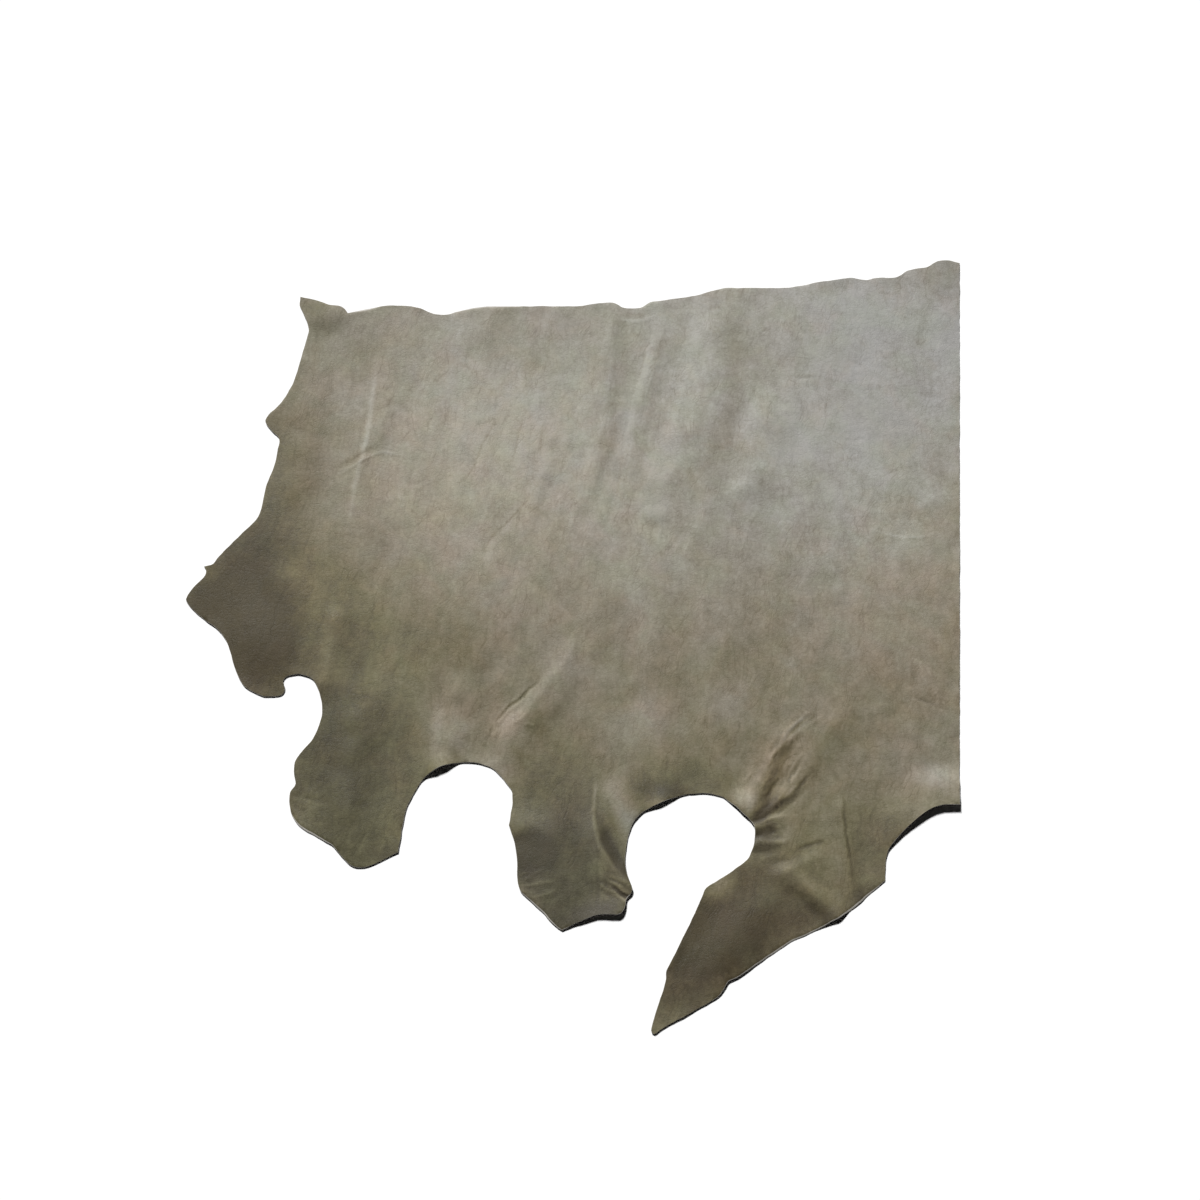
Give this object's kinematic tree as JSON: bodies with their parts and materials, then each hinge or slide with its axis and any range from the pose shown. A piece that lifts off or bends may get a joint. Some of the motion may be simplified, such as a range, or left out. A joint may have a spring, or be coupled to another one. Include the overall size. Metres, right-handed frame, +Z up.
{
  "type": "leather hide",
  "caption": "Leather hide lying flat, grain side up: a straight trimmed side, a wavy back edge, an ear and cheek, and shank, belly and flank flaps parted by round bays.",
  "frame": {"origin": "on the surface that the hide lies on, under the middle of its bounding box", "axes": "+X towards the straight trimmed side, +Y towards the back edge, +Z up out of the grain side"},
  "size_m": [1.1894, 1.186, 0.0117],
  "materials": {
    "leather": "grey taupe, satin grain side"
  },
  "bodies": {
    "root": {"hide": "leather"}
  },
  "joints": []
}
